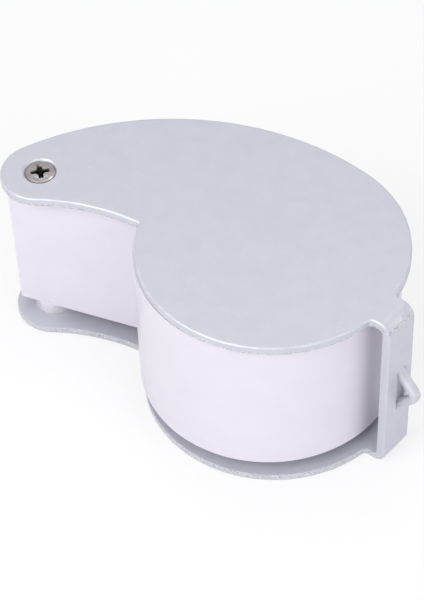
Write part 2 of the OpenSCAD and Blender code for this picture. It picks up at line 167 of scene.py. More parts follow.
# Grey lacquer on cut sheet: fine sparse flecks, uneven gloss, a patchy painted highlight along the rolled
# rims, and a grainy cut edge whose bright specks are painted glints
def paintLook(s):
    mat, tree, shader, coord = startLook("casePaint")
    fleck = remap(tree, noise(tree, coord, s["fleckScale"], 1, 0.4), s["fleckFrom"], s["fleckTo"], 0, 1)
    mottle = remap(tree, noise(tree, coord, s["mottleScale"], 3), 0.35, 0.65, 0, 1)
    base = mixColours(tree, mottle, s["colour"], s["colourAlt"])
    flecked = mixColours(tree, fleck, base, s["fleckColour"])
    flat = flatness(tree, coord)
    # painted highlight: the sloped rim faces are brightened in patches, standing in for light caught by the
    # rolled edges
    rim = product(tree, remap(tree, flat, *s["rimFrom"], 0, 1), remap(tree, flat, *s["rimTo"], 1, 0))
    rimHighlight = remap(tree, noise(tree, coord, s["rimHighlightScale"], 3), 0.35, 0.6, s["rimHighlightLow"], s["rimHighlightHigh"])
    colour = mixColours(tree, product(tree, rim, rimHighlight), flecked, s["rimHighlightColour"])
    height = zPart(tree, coord.outputs["Object"])
    # cut edge bands: grain of the real burr, its near-white specks painted glints
    grain = remap(tree, noise(tree, coord, s["cutScale"], 2, 0.7), 0.42, 0.6, 0, 1)
    for low, high in s["cutBands"]:
        upright = remap(tree, flat, *s["cutSide"], 1, 0)
        band = product(tree, heightBand(tree, height, low, high, s["cutSoft"]), upright)
        burrAndGlints = mixColours(tree, grain, s["cutDark"], s["cutGlintColour"])
        colour = mixColours(tree, product(tree, band, s["cutAmount"]), colour, burrAndGlints)
    tree.links.new(colour, shader.inputs["Base Color"])
    shader.inputs["Metallic"].default_value = s["metal"]
    tree.links.new(remap(tree, noise(tree, coord, s["glossScale"], 3), 0.3, 0.7, *s["rough"]),
                   shader.inputs["Roughness"])
    shader.inputs["Coat Weight"].default_value = s["coat"]
    shader.inputs["Coat Roughness"].default_value = s["coatRough"]
    bump(tree, shader, noise(tree, coord, s["peelScale"], 2), s["peel"], s["peelDepth"])
    return mat


# Moulded plastic: faint cloudiness, soft gloss, very fine skin texture and a few specks
def plasticLook(name, s):
    mat, tree, shader, coord = startLook(name)
    cloud = remap(tree, noise(tree, coord, s["cloudScale"], 3), 0.35, 0.65, 0, 1)
    base = mixColours(tree, cloud, s["colour"], s["colourAlt"])
    speck = remap(tree, noise(tree, coord, s["speckScale"], 1), s["speckFrom"], s["speckFrom"] + 0.04,
                  0, s["speckAmount"])
    specked = mixColours(tree, speck, base, s["speckColour"])
    tree.links.new(specked, shader.inputs["Base Color"])
    tree.links.new(remap(tree, noise(tree, coord, s["glossScale"], 4), 0.3, 0.7, *s["rough"]),
                   shader.inputs["Roughness"])
    shader.inputs["Subsurface Weight"].default_value = s["glow"]
    shader.inputs["Subsurface Radius"].default_value = s["glowReach"]
    shader.inputs["Subsurface Scale"].default_value = 1
    shader.inputs["IOR"].default_value = 1.49
    bump(tree, shader, noise(tree, coord, s["skinScale"], 2), s["skin"], s["skinDepth"])
    return mat


# Turned or stamped metal: fine scratches, dull patches, brighter rubbed edges and painted shade darkening the
# concave corners
def metalLook(name, s):
    mat, tree, shader, coord = startLook(name)
    patch = remap(tree, noise(tree, coord, s["patchScale"], 4, 0.6), 0.35, 0.7, 0, 1)
    base = mixColours(tree, patch, s["colour"], s["dull"])
    corners = tree.nodes.new("ShaderNodeNewGeometry").outputs["Pointiness"]
    worn = mixColours(tree, remap(tree, corners, *s["wornFrom"], 0, 1), base, s["bright"])
    # painted shade: concave corners darkened where shade falls
    colour = mixColours(tree, remap(tree, corners, *s["cornerShadeTo"], s["cornerShade"], 0), worn, s["cornerShadeColour"])
    # painted shade: darker below a given height, for a recess lying in shadow
    if "deep" in s:
        height = zPart(tree, coord.outputs["Object"])
        colour = mixColours(tree, remap(tree, height, *s["deep"], s["cornerShade"], 0), colour, s["cornerShadeColour"])
    tree.links.new(colour, shader.inputs["Base Color"])
    shader.inputs["Metallic"].default_value = 1
    stretch = tree.nodes.new("ShaderNodeMapping")
    stretch.inputs["Scale"].default_value = s["grain"]
    tree.links.new(coord.outputs["Object"], stretch.inputs["Vector"])
    lines = tree.nodes.new("ShaderNodeTexNoise")
    lines.inputs["Scale"].default_value = s["grainScale"]
    lines.inputs["Detail"].default_value = 3
    tree.links.new(stretch.outputs["Vector"], lines.inputs["Vector"])
    tree.links.new(remap(tree, lines.outputs["Fac"], 0.3, 0.7, *s["rough"]), shader.inputs["Roughness"])
    bump(tree, shader, lines.outputs["Fac"], s["scratch"], s["scratchDepth"])
    return mat


# Clear glass or resin with a faint tint and slight surface dust
def clearLook(name, s):
    mat, tree, shader, coord = startLook(name)
    shader.inputs["Transmission Weight"].default_value = 1
    shader.inputs["IOR"].default_value = s["ior"]
    tint = remap(tree, noise(tree, coord, s["tintScale"], 2), 0.35, 0.65, 0, 1)
    tree.links.new(mixColours(tree, tint, s["colour"], s["colourAlt"]), shader.inputs["Base Color"])
    dust = remap(tree, noise(tree, coord, s["dustScale"], 2), s["dustFrom"], s["dustFrom"] + 0.05, *s["rough"])
    tree.links.new(dust, shader.inputs["Roughness"])
    return mat


paint = {"colour": linear(202, 202, 212), "colourAlt": linear(199, 199, 209), "mottleScale": 420,
         "fleckColour": linear(220, 220, 228), "fleckScale": 5200, "fleckFrom": 0.72, "fleckTo": 0.8,
         # painted highlight on the rims: its colour, the rim slopes it covers and its patches
         "rimHighlightColour": linear(243, 243, 247), "rimFrom": (0.25, 0.5), "rimTo": (0.8, 0.97),
         "rimHighlightScale": 700, "rimHighlightLow": 0.1, "rimHighlightHigh": 0.42, "metal": 0.25, "glossScale": 1500,
         "rough": (0.36, 0.5), "coat": 0.16, "coatRough": 0.3, "peelScale": 2400, "peel": 0.25,
         # cut edge bands: bare burr, with painted glints as its bright specks
         "peelDepth": 0.012 * mm, "cutScale": 8500, "cutBands": ((0.5 * mm, 1.2 * mm), (25.6 * mm, 25.9 * mm)),
         "cutSide": (0.5, 0.8), "cutSoft": 0.15 * mm, "cutAmount": 0.8, "cutDark": linear(140, 140, 146),
         "cutGlintColour": linear(248, 248, 250)}
white = {"colour": linear(222, 218, 227), "colourAlt": linear(220, 216, 225), "cloudScale": 260,
         "speckScale": 2600, "speckFrom": 0.78, "speckAmount": 0.2, "speckColour": linear(200, 197, 192),
         "glossScale": 900, "rough": (0.29, 0.34), "glow": 0.06,
         "glowReach": (1.2 * mm, 1 * mm, 0.9 * mm), "skinScale": 3800, "skin": 0.12, "skinDepth": 0.006 * mm}
washerNylon = dict(white, colour=linear(228, 227, 226), colourAlt=linear(223, 222, 220), rough=(0.4, 0.5),
                   glow=0.15)
black = {"colour": (0.022, 0.022, 0.024), "colourAlt": (0.03, 0.03, 0.031), "cloudScale": 300,
         "speckScale": 2400, "speckFrom": 0.74, "speckAmount": 0.4, "speckColour": (0.12, 0.12, 0.12),
         "glossScale": 1200, "rough": (0.38, 0.52), "glow": 0, "glowReach": (1.2 * mm, 1 * mm, 0.9 * mm),
         "skinScale": 5200, "skin": 0.4, "skinDepth": 0.02 * mm}
board = dict(black, colour=linear(24, 92, 52), colourAlt=linear(20, 80, 44),
             speckColour=linear(90, 150, 100), rough=(0.3, 0.42))
tan = dict(black, colour=linear(205, 184, 140), colourAlt=linear(192, 170, 124),
           speckColour=linear(120, 90, 60), rough=(0.4, 0.55))
redSleeve = dict(black, colour=linear(186, 26, 22), colourAlt=linear(172, 22, 20),
                 speckColour=linear(210, 90, 80), rough=(0.34, 0.46))
whiteSleeve = dict(black, colour=linear(226, 224, 220), colourAlt=linear(214, 212, 206),
                   speckColour=linear(160, 158, 150), rough=(0.34, 0.46))
# the darkening of concave corners in these metal looks is painted shade
nickel = {"colour": linear(178, 172, 172), "dull": linear(140, 130, 124), "bright": linear(226, 224, 224),
          "patchScale": 900, "wornFrom": (0.52, 0.6), "cornerShade": 0.9, "cornerShadeTo": (0.36, 0.48),
          "cornerShadeColour": linear(52, 44, 36), "grain": (1, 1, 12), "grainScale": 1400,
          "rough": (0.26, 0.42), "scratch": 0.18, "scratchDepth": 0.02 * mm}
# pivot screw: stronger painted shade in its corners, and painted shade in its cross recess below the given
# heights
screwNickel = dict(nickel, colour=linear(190, 184, 182), dull=linear(150, 142, 138), cornerShade=0.97,
                   deep=(26.35 * mm, 26.62 * mm))
spring = dict(nickel, colour=linear(196, 196, 200), dull=linear(160, 158, 160), rough=(0.2, 0.34))
cellSteel = dict(nickel, colour=linear(206, 206, 208), dull=linear(180, 178, 176), rough=(0.22, 0.4),
                 grain=(1, 1, 6))
brass = dict(nickel, colour=linear(205, 172, 104), dull=linear(160, 126, 70), bright=linear(240, 214, 150))
glass = {"ior": 1.52, "colour": (0.93, 0.96, 0.97), "colourAlt": (0.95, 0.97, 0.975), "tintScale": 200,
         "dustScale": 4200, "dustFrom": 0.7, "rough": (0.01, 0.12)}
resin = dict(glass, ior=1.54, colour=(0.94, 0.95, 0.985), colourAlt=(0.92, 0.94, 0.98), rough=(0.03, 0.15))

looks = {
    "case_paint": paintLook(paint),
    "nickel": metalLook("nickel", nickel),
    "spring_steel": metalLook("springSteel", spring),
    "nylon": plasticLook("nylon", washerNylon),
    "white_plastic": plasticLook("whitePlastic", white),
    "lens_clear": clearLook("lensClear", glass),
    "black_plastic": plasticLook("blackPlastic", black),
    "board_green": plasticLook("boardGreen", board),
    "lamp_clear": clearLook("lampClear", resin),
    "resistor_tan": plasticLook("resistorTan", tan),
    "cell_steel": metalLook("cellSteel", cellSteel),
    "brass": metalLook("brass", brass),
    "wire_red": plasticLook("wireRed", redSleeve),
    "wire_black": plasticLook("wireBlack", black),
    "wire_white": plasticLook("wireWhite", whiteSleeve),
}
print("materials made:", len(looks))


# Edges sharper than limit degrees
def sharpEdges(bm, limit=30):
    return [e for e in bm.edges if e.is_manifold and e.calc_face_angle(0) > math.radians(limit)]


def flatAt(edge, z):
    return all(abs(v.co.z - z) < 0.02 * mm for v in edge.verts)


def pick(made, kind):
    return [g for g in made if isinstance(g, kind)]


def bevelEdges(bm, edges, offset, segments):
    bmesh.ops.bevel(bm, geom=edges, offset=offset, segments=segments, profile=0.5, material=-1,
                    affect="EDGES", clamp_overlap=True)


def evenShading(obj):
    even = obj.modifiers.new("evenShading", "WEIGHTED_NORMAL")
    even.keep_sharp = True


# Copy of a node's mesh, merged, cleaned and with softened edges
def softCopy(name, node, body, slotName, soften=0):
    bm = bmesh.new()
    bm.from_mesh(frame["nodes"][node].data)
    bmesh.ops.remove_doubles(bm, verts=bm.verts, dist=0.002 * mm)
    bmesh.ops.dissolve_limit(bm, angle_limit=math.radians(0.6), verts=bm.verts, edges=bm.edges)
    if soften:
        bevelEdges(bm, sharpEdges(bm), soften, 3)
    bmesh.ops.recalc_face_normals(bm, faces=bm.faces)
    return newObject(name, bm, body, slotName, node)


def arcTo(bm, vert, centre, target, steps, ccw=False):
    centre = lift(centre, vert.co.z)
    angle = angleOf(target - centre) - angleOf(vert.co - centre)
    angle = angle % (2 * math.pi) if ccw else -(-angle % (2 * math.pi))
    spun = bmesh.ops.spin(bm, geom=[vert], cent=centre, axis=(0, 0, 1), angle=angle, steps=steps,
                          use_duplicate=False)
    return pick(spun["geom_last"], bmesh.types.BMVert)[0]


def lineTo(bm, vert, place):
    made = bmesh.ops.extrude_vert_indiv(bm, verts=[vert])["verts"][0]
    made.co = place
    return made


# Centre of the arc that touches the pivot end and the lens lobe from inside
def backMiddle(s, lobe):
    toEnd, toLobe, reach = s["back"] - s["end"], s["back"] - s["lobe"], (lobe - pivot).length
    x = (reach ** 2 + toEnd ** 2 - toLobe ** 2) / (2 * reach)
    return pivot + Vector((x, -math.sqrt(toEnd ** 2 - x ** 2), 0))


# Where two circles cross, on the right as seen from the first centre
def crossing(c1, r1, c2, r2):
    d = (c2 - c1).length
    u = (c2 - c1) / d
    along = (r1 ** 2 - r2 ** 2 + d * d) / (2 * d)
    return c1 + u * along - Vector((-u.y, u.x, 0)) * math.sqrt(r1 * r1 - along * along)


def closeFace(bm):
    bmesh.ops.remove_doubles(bm, verts=bm.verts, dist=0.001 * mm)
    bmesh.ops.contextual_create(bm, geom=[e for e in bm.edges if not e.link_faces])


def roundCorners(bm, points, offset, segments):
    corners = [min(bm.verts, key=lambda v: (v.co - p).length) for p in points]
    bmesh.ops.bevel(bm, geom=corners, offset=offset, segments=segments, profile=0.5, material=-1,
                    affect="VERTICES")


def loosePiece(bm):
    mesh = bpy.data.meshes.new("loose")
    bm.to_mesh(mesh)
    bm.free()
    obj = bpy.data.objects.new("loose", mesh)
    bpy.context.scene.collection.objects.link(obj)
    return obj


# Cuts the tools out of the base, or joins them to it, and uses them up
def combine(base, tools, operation="DIFFERENCE"):
    for tool in tools:
        cut = base.modifiers.new("cut", "BOOLEAN")
        cut.operation = operation
        cut.solver = "EXACT"
        cut.object = tool
        result = bpy.data.meshes.new_from_object(base.evaluated_get(bpy.context.evaluated_depsgraph_get()))
        base.modifiers.clear()
        base.data = result
        bpy.data.objects.remove(tool)
    return base


# Round bar or cone between two heights
def tube(centre, r, z0, z1, rTop=None):
    bm = bmesh.new()
    bmesh.ops.create_cone(bm, cap_ends=True, segments=96, radius1=r, radius2=r if rTop is None else rTop,
                          depth=z1 - z0)
    bmesh.ops.translate(bm, verts=bm.verts, vec=(centre[0], centre[1], (z0 + z1) / 2))
    return loosePiece(bm)


def slab(size, place):
    bm = bmesh.new()
    bmesh.ops.create_cube(bm, size=1)
    bmesh.ops.scale(bm, verts=bm.verts, vec=size)
    bmesh.ops.transform(bm, verts=bm.verts, matrix=place)
    return loosePiece(bm)


# Turns a carved piece into a finished one, with its edges broken
def finishPiece(obj, name, body, slotName, replaced, soften, sharper):
    bm = bmesh.new()
    bm.from_mesh(obj.data)
    bpy.data.objects.remove(obj)
    bmesh.ops.remove_doubles(bm, verts=bm.verts, dist=0.001 * mm)
    done = newObject(name, bm, body, slotName, replaced)
    soft = done.modifiers.new("softEdges", "BEVEL")
    soft.width = soften
    soft.segments = 2
    soft.limit_method = "ANGLE"
    soft.angle_limit = math.radians(sharper)
    evenShading(done)
    return done


pivot = Vector([j for j in frame["joints"] if j["name"] == "body_swing"][0]["pos_m"])
past = 1 * mm  # how far a cutter goes past what it cuts
hair = 0.0001 * mm  # the same, where a cone's end sets the hole's size

# Case: one bent sheet, two plates joined by a web at the lens end
case = {"lobeAt": Vector((0.8, 0, 0)) * mm, "lobe": 17.995 * mm, "end": 5.4 * mm, "back": 38.195 * mm,
        "hollow": 28.7 * mm, "turn": -69, "top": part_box("case_shell")[1].z, "sheet": 1.2 * mm,
        "webTurn": -15.9, "webOut": 20.9 * mm, "bend": 1.8 * mm, "notchRound": 0.55 * mm,
        "lowTab": (-2.5 * mm, 2.85 * mm), "topTab": (-2.2 * mm, 3.02 * mm), "slot": (0, 1.45 * mm),
        "slotLow": 9.2 * mm, "slotHigh": 16.6 * mm, "rim": 0.28 * mm, "innerRim": 0.07 * mm,
        "sink": 2.4 * mm, "screwHole": 1.35 * mm, "rivetHole": 1.55 * mm, "rivetHead": 2.25 * mm,
        "soften": 0.04 * mm}
webAlong, webAcross = polar(case["webTurn"]), polar(case["webTurn"] + 90)
topZ, bendR = case["top"], case["bend"]
bendAt = case["webOut"] - bendR


def onWeb(along, across, z=0.0):
    return case["lobeAt"] + webAlong * along + webAcross * across + Vector((0, 0, z))


def alongWeb(co):
    return (co - case["lobeAt"]).dot(webAlong)


def plateFace(bm, z, tab):
    lobe, r, (near, far) = case["lobeAt"], case["lobe"], tab
    hollow = pivot + polar(case["turn"], case["hollow"] + case["end"])
    backAt = backMiddle(case, lobe)
    farNotch, nearNotch = (onWeb(math.sqrt(r * r - across ** 2), across) for across in (far, near))
    first = bm.verts.new(lift(pivot + polar(case["turn"], case["end"]), z))
    v = arcTo(bm, first, pivot, backAt + (pivot - backAt).normalized() * case["back"], 40)
    v = arcTo(bm, v, backAt, backAt + (lobe - backAt).normalized() * case["back"], 64)
    v = arcTo(bm, v, lobe, farNotch, 36)
    for across in (far, case["slot"][1], case["slot"][0], near):
        v = lineTo(bm, v, onWeb(bendAt, across, z))
    v = lineTo(bm, v, lift(nearNotch, z))
    v = arcTo(bm, v, lobe, crossing(lobe, r, hollow, case["hollow"]), 56)
    arcTo(bm, v, hollow, first.co, 40, ccw=True)
    closeFace(bm)
    roundCorners(bm, [lift(farNotch, z), lift(nearNotch, z)], case["notchRound"], 5)


# Bends a plate's tab through a quarter turn and gives the bend's last edges
def bendTab(bm, z, axisZ, angle):
    edges = [e for e in bm.edges
             if all(abs(v.co.z - z) < hair and abs(alongWeb(v.co) - bendAt) < 0.001 * mm for v in e.verts)]
    verts = list({v for e in edges for v in e.verts})
    spun = bmesh.ops.spin(bm, geom=verts + edges, cent=onWeb(bendAt, 0, axisZ), axis=webAcross, angle=angle,
                          steps=8, use_duplicate=False)
    return pick(spun["geom_last"], bmesh.types.BMEdge)


# Depth of a point below the case's outer surface
def depthBelowSkin(co):
    over = alongWeb(co) - bendAt
    depths = [abs(co.z), abs(topZ - co.z)]
    if over > -0.001 * mm and bendR <= co.z <= topZ - bendR:
        depths = [abs(over - bendR)]
    elif over > -0.001 * mm:
        axisZ = bendR if co.z < bendR else topZ - bendR
        depths = [abs(bendR - math.hypot(over, co.z - axisZ))]
    return min(depths)


# Sides of the web lean a little, the slot's sides stand straight
def webEdge(across, z):
    if min(abs(across - side) for side in case["slot"]) < 0.05 * mm:
        return across
    which = 0 if across < 0 else 1
    low, high = case["lowTab"][which], case["topTab"][which]
    return low + (high - low) * (z - bendR) / (topZ - 2 * bendR)


bm = bmesh.new()
plateFace(bm, 0, case["lowTab"])
upper = bmesh.new()
plateFace(upper, topZ, case["topTab"])
spare = bpy.data.meshes.new("spare")
upper.to_mesh(spare)
upper.free()
bm.from_mesh(spare)
bpy.data.meshes.remove(spare)
row = bendTab(bm, 0, bendR, -math.pi / 2)
bendTab(bm, topZ, topZ - bendR, math.pi / 2)
for z in (case["slotLow"], case["slotHigh"], topZ - bendR):
    row = pick(bmesh.ops.extrude_edge_only(bm, edges=row)["geom"], bmesh.types.BMEdge)
    for v in {v for e in row for v in e.verts}:
        across = (v.co - case["lobeAt"]).dot(webAcross)
        v.co = onWeb(case["webOut"], webEdge(across, z), z)
bmesh.ops.remove_doubles(bm, verts=bm.verts, dist=0.002 * mm)
slotAt = onWeb(case["webOut"], sum(case["slot"]) / 2, (case["slotLow"] + case["slotHigh"]) / 2)
slotFace = min(bm.faces, key=lambda f: (f.calc_center_median() - slotAt).length)
bmesh.ops.delete(bm, geom=[slotFace], context="FACES_ONLY")
bmesh.ops.recalc_face_normals(bm, faces=bm.faces)
topPlate = max(bm.faces, key=lambda f: f.calc_area() + f.calc_center_median().z)
if topPlate.normal.z < 0:
    bmesh.ops.reverse_faces(bm, faces=bm.faces)
bmesh.ops.solidify(bm, geom=bm.faces, thickness=case["sheet"])
bmesh.ops.recalc_face_normals(bm, faces=bm.faces)
for outside, offset, segments in ((True, case["rim"], 4), (False, case["innerRim"], 2)):
    rims = [e for e in sharpEdges(bm, 50)
            if all((depthBelowSkin(v.co) < 0.02 * mm) == outside for v in e.verts)]
    bevelEdges(bm, rims, offset, segments)
sinkDeep, rivetDeep = case["sink"] - case["screwHole"], case["rivetHead"] - case["rivetHole"]
sheet = combine(loosePiece(bm), [
    tube(pivot, case["screwHole"], topZ - 2 * past, topZ + past),
    tube(pivot, case["screwHole"], topZ - sinkDeep, topZ + hair, case["sink"]),
    tube(pivot, case["rivetHole"], -past, 2 * past),
    tube(pivot, case["rivetHead"], -hair, rivetDeep, case["rivetHole"])])
print("case sheet bent and drilled")

# Strap for a lanyard: a band pressed out of the web's slot, its side view drawn as (out, up)
strap = {"out": 2.85 * mm, "nose": 1.65 * mm, "foot": 0.8 * mm, "tail": 0.4 * mm, "thick": 1.15 * mm,
         "round": 0.54 * mm}
slotNear, slotFar = case["slot"]
webOut, footLow, footHigh = case["webOut"], case["slotLow"], case["slotHigh"]
noseAt = (webOut + strap["out"] - strap["nose"], (footLow + footHigh) / 2)
toNose = (noseAt[0] - webOut, noseAt[1] - footLow)
slope = math.atan2(toNose[1], toNose[0]) - math.asin(strap["nose"] / math.hypot(*toNose))
legTurn = math.pi / 2 - slope  # from the web to a leg of the strap
footLong = strap["foot"] * math.tan(legTurn / 2)
footAt = webOut + strap["foot"]
lowFoot, highFoot = footLow - footLong, footHigh + footLong


def strapArc(vert, out, up, angle, steps):
    spun = bmesh.ops.spin(bm, geom=[vert], cent=onWeb(out, slotNear, up), axis=webAcross, angle=angle,
                          steps=steps, use_duplicate=False)
    return pick(spun["geom_last"], bmesh.types.BMVert)[0]


def strapLine(vert, out, up):
    return lineTo(bm, vert, onWeb(out, slotNear, up))


bm = bmesh.new()
v = strapLine(bm.verts.new(onWeb(webOut, slotNear, lowFoot - strap["tail"])), webOut, lowFoot)
v = strapArc(v, footAt, lowFoot, legTurn, 6)
v = strapLine(v, noseAt[0] + strap["nose"] * math.cos(legTurn), noseAt[1] - strap["nose"] * math.sin(legTurn))
v = strapArc(v, *noseAt, -2 * legTurn, 16)
v = strapLine(v, footAt - strap["foot"] * math.sin(slope), highFoot - strap["foot"] * math.cos(slope))
v = strapArc(v, footAt, highFoot, legTurn, 6)
strapLine(v, webOut, highFoot + strap["tail"])
band = pick(bmesh.ops.extrude_edge_only(bm, edges=bm.edges)["geom"], bmesh.types.BMVert)
bmesh.ops.translate(bm, verts=band, vec=webAcross * (slotFar - slotNear))
bmesh.ops.recalc_face_normals(bm, faces=bm.faces)
outermost = max(bm.faces, key=lambda f: alongWeb(f.calc_center_median()))
if outermost.normal.dot(webAlong) < 0:
    bmesh.ops.reverse_faces(bm, faces=bm.faces)
bmesh.ops.solidify(bm, geom=bm.faces, thickness=strap["thick"])
bmesh.ops.recalc_face_normals(bm, faces=bm.faces)
lengthwise = [e for e in sharpEdges(bm, 60)
              if abs((e.verts[0].co - e.verts[1].co).normalized().dot(webAcross)) < 0.5]
bevelEdges(bm, lengthwise, strap["round"], 5)
sheet = combine(sheet, [loosePiece(bm)], "UNION")
finishPiece(sheet, "caseShell", "case", "case_paint", "case_shell", case["soften"], 32)
print("case made")

# Lens body: a moulded shell around the lens barrel, the cell sleeve and the pivot bore
lensBody = {"lobe": 17.7 * mm, "end": 4.67 * mm, "back": 37.5 * mm, "low": 3.1 * mm, "top": 25.3 * mm,
            "deck": 23.8 * mm, "cover": 4.9 * mm, "post": 7.5 * mm, "wall": 1.2 * mm, "ledge": 0.4 * mm,
            "nearEnd": Vector((-36.95, -2.88, 0)) * mm, "nearRise": 0.0622, "cornerRound": 1.6 * mm,
            "creaseRound": 0.25 * mm, "topRound": 0.8 * mm, "lowRound": 0.3 * mm, "soften": 0.07 * mm}
boss = {"r": 2.8 * mm, "low": 1.55 * mm, "solid": 5.6 * mm, "bore": 2.05 * mm}
barrel = {"at": Vector((0, 0, 0)), "outer": 13.75 * mm, "bore": 12.55 * mm, "window": 11.8 * mm}
cellSleeve = {"at": pivot + polar(38, 10.6 * mm), "outer": 5 * mm, "bore": 4.1 * mm}
lampBore = {"turn": 157, "out": 12.8 * mm, "height": 8.1 * mm, "tilt": -30, "apart": 2.6 * mm,
            "r": 1.6 * mm, "deep": 6 * mm}
switchSlot = {"turn": 102, "height": 14 * mm, "out": 37 * mm, "size": (3.4 * mm, 4 * mm, 1.8 * mm),
              "recessOut": 37.85 * mm, "recess": (1.7 * mm, 5.8 * mm, 3.6 * mm)}
contactSlot = {"turn": 30, "height": 13 * mm, "out": 4.2 * mm, "size": (2.5 * mm, 3.2 * mm, 21.6 * mm)}
bodyBack = backMiddle(dict(lensBody, end=4.7 * mm), barrel["at"])
screwPost = {"r": 1.6 * mm, "pilot": 0.75 * mm, "pilotTop": 7.3 * mm,
             "back": bodyBack + polar(112.5, 34.3 * mm),
             "near": pivot + polar(-61.6, 26.7 * mm) + polar(79, 24.6 * mm),
             "door": cellSleeve["at"] + polar(-35, 5.85 * mm)}
tall = 30 * mm  # clear of the body's top


# Plan of the body moved in by inset: pivot end, convex side, lens lobe and a nearly straight near side
def bodyFace(bm, z, inset):
    lean = math.atan(lensBody["nearRise"])
    outward = Vector((math.sin(lean), -math.cos(lean), 0))
    onLine, lineWay = lensBody["nearEnd"] - outward * inset, Vector((-outward.y, outward.x, 0))
    endR, lobeR, backR = (lensBody[k] - inset for k in ("end", "lobe", "back"))

    # Where the near side's line enters a circle
    def enters(centre, r):
        away = onLine - centre
        b = away.dot(lineWay)
        return onLine + lineWay * (-b - math.sqrt(b * b - away.length_squared + r * r))

    endCorner, crease = enters(pivot, endR), enters(barrel["at"], lobeR)
    first = bm.verts.new(lift(endCorner, z))
    v = arcTo(bm, first, pivot, bodyBack + (pivot - bodyBack).normalized() * backR, 32)
    v = arcTo(bm, v, bodyBack, bodyBack + (barrel["at"] - bodyBack).normalized() * backR, 64)
    v = arcTo(bm, v, barrel["at"], crease, 96)
    lineTo(bm, v, lift(endCorner, z))
    closeFace(bm)
    roundCorners(bm, [lift(endCorner, z)], lensBody["cornerRound"], 10)
    roundCorners(bm, [lift(crease, z)], lensBody["creaseRound"], 3)


def bodyPrism(inset, z0, z1):
    bm = bmesh.new()
    bodyFace(bm, z0, inset)
    raised = pick(bmesh.ops.extrude_face_region(bm, geom=list(bm.faces))["geom"], bmesh.types.BMVert)
    bmesh.ops.translate(bm, verts=raised, vec=(0, 0, z1 - z0))
    bmesh.ops.recalc_face_normals(bm, faces=bm.faces)
    return bm


def lampCutter(across):
    bm = bmesh.new()
    bmesh.ops.create_cone(bm, cap_ends=True, segments=48, radius1=lampBore["r"], radius2=lampBore["r"],
                          depth=lampBore["deep"])
    place = turned(lampBore["turn"]) @ Matrix.Translation((lampBore["out"], 0, lampBore["height"])) \
        @ turned(lampBore["tilt"], "Y") @ Matrix.Translation((0, across, 0)) @ turned(90, "Y")
    bmesh.ops.transform(bm, verts=bm.verts, matrix=place)
    return loosePiece(bm)


def turnedSlab(centre, s, out, size):
    return slab(size, Matrix.Translation(lift(centre, s["height"])) @ turned(s["turn"])
                @ Matrix.Translation((out, 0, 0)))


low, top, deck, cover = (lensBody[k] for k in ("low", "top", "deck", "cover"))
bm = bodyPrism(0, low, top)
bevelEdges(bm, [e for e in sharpEdges(bm, 60) if flatAt(e, top)], lensBody["topRound"], 6)
bevelEdges(bm, [e for e in sharpEdges(bm, 60) if flatAt(e, low)], lensBody["lowRound"], 4)
shell = combine(loosePiece(bm), [tube(pivot, boss["r"], boss["low"], low + 0.5 * mm)], "UNION")
hollow = combine(loosePiece(bodyPrism(lensBody["wall"], cover - 0.01 * mm, deck)), [
    tube(pivot, boss["solid"], 0, tall), tube(barrel["at"], barrel["outer"], 0, tall),
    tube(cellSleeve["at"], cellSleeve["outer"], 0, tall), tube(screwPost["back"], screwPost["r"], 0, tall),
    tube(screwPost["near"], screwPost["r"], 0, lensBody["post"]),
    tube(screwPost["door"], screwPost["r"], 0, lensBody["post"])])
pocket = combine(loosePiece(bodyPrism(lensBody["wall"] - lensBody["ledge"], low - 1.1 * mm, cover)), [
    tube(pivot, boss["solid"] - lensBody["ledge"], 0, tall)])
cutters = [
    hollow, pocket, tube(barrel["at"], barrel["bore"], low - 1.1 * mm, deck),
    tube(barrel["at"], barrel["window"], deck - 3.8 * mm, top + 2.7 * mm),
    tube(pivot, boss["bore"], 0, top + 2.7 * mm),
    tube(cellSleeve["at"], cellSleeve["bore"], low - 1.1 * mm, deck),
    turnedSlab(cellSleeve["at"], contactSlot, contactSlot["out"], contactSlot["size"])]
cutters += [tube(screwPost[k], screwPost["pilot"], low - 0.1 * mm, screwPost["pilotTop"])
            for k in ("back", "near", "door")]
cutters += [lampCutter(-lampBore["apart"]), lampCutter(lampBore["apart"]),
            turnedSlab(bodyBack, switchSlot, switchSlot["out"], switchSlot["size"]),
            turnedSlab(bodyBack, switchSlot, switchSlot["recessOut"], switchSlot["recess"])]
shell = combine(shell, cutters)
finishPiece(shell, "bodyShell", "lens_body", "white_plastic", "body_shell", lensBody["soften"], 32)
print("lens body made")

# Pivot screw: countersunk head with a cross recess
screw = {"head": 2.1 * mm, "shank": 1.25 * mm, "low": 18.6 * mm, "top": 26.75 * mm, "rim": 0.2 * mm,
         "chamferHigh": 0.08 * mm, "chamferIn": 0.3 * mm, "crossLong": 2.75 * mm, "crossWide": 0.72 * mm,
         "crossDeep": 1.5 * mm, "taper": 0.45, "turn": 35, "pitLow": 0.3 * mm, "pitHigh": 0.72 * mm,
         "soften": 0.04 * mm}


# Four-sided tapered punch, wide end up
def punch(centre, length, width, z0, z1):
    bm = bmesh.new()
    bmesh.ops.create_cone(bm, cap_ends=True, segments=4, radius1=screw["taper"] * math.sqrt(0.5),
                          radius2=math.sqrt(0.5), depth=1)
    bmesh.ops.transform(bm, verts=bm.verts, matrix=turned(45))
    bmesh.ops.scale(bm, verts=bm.verts, vec=(length, width, z1 - z0))
    bmesh.ops.transform(bm, verts=bm.verts, matrix=turned(screw["turn"]))
    bmesh.ops.translate(bm, verts=bm.verts, vec=(centre[0], centre[1], (z0 + z1) / 2))
    return loosePiece(bm)


